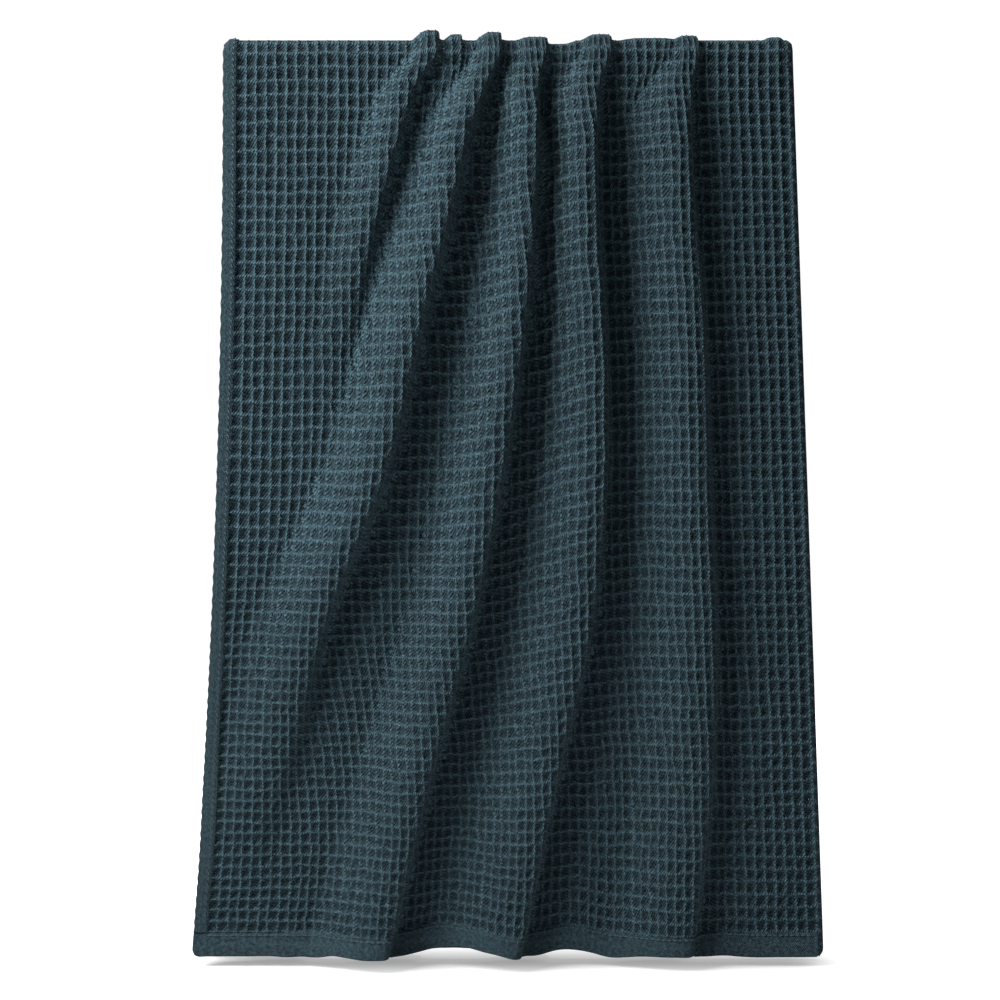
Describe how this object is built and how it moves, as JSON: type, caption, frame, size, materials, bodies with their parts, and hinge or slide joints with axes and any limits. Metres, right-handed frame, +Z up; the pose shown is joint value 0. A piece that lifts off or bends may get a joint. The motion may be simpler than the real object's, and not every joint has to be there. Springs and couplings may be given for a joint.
{
  "type": "folded throw blanket",
  "caption": "Waffle-weave cotton throw folded in half lengthwise and hung over a rail, in soft pleats with stitched hems.",
  "frame": {"origin": "on the axis of the rail that the top fold passes over, at mid width", "axes": "+X along the rail, to the viewer's right; +Z up; the front leaf hangs on the -Y side"},
  "size_m": [0.521, 0.0829, 0.7559],
  "materials": {
    "waffle_cloth": "matt waffle-weave cotton, dark teal",
    "hem_cloth": "matt plain-woven cotton, turned and stitched",
    "thread": "matt cotton sewing thread"
  },
  "bodies": {
    "top_fold": {"top_fold_outer": "waffle_cloth", "top_fold_inner": "waffle_cloth"},
    "front_leaf": {"front_outer_ply": "waffle_cloth", "front_inner_ply": "waffle_cloth", "front_side_fold": "waffle_cloth", "front_outer_hem": "hem_cloth", "front_inner_hem": "hem_cloth", "front_outer_side_hem": "hem_cloth", "front_inner_side_hem": "hem_cloth", "front_hem_thread": "thread", "front_side_thread": "thread"},
    "back_leaf": {"back_outer_ply": "waffle_cloth", "back_inner_ply": "waffle_cloth", "back_side_fold": "waffle_cloth", "back_outer_hem": "hem_cloth", "back_inner_hem": "hem_cloth", "back_outer_side_hem": "hem_cloth", "back_inner_side_hem": "hem_cloth", "back_hem_thread": "thread", "back_side_thread": "thread"}
  },
  "joints": [
    {"name": "front_leaf_swing", "type": "hinge", "parent": "top_fold", "child": "front_leaf", "pos_m": [0, -0.0118, 0], "axis": [-1, 0, 0], "range_deg": [0, 60]},
    {"name": "back_leaf_swing", "type": "hinge", "parent": "top_fold", "child": "back_leaf", "pos_m": [0, 0.0118, 0], "axis": [1, 0, 0], "range_deg": [0, 60]}
  ]
}
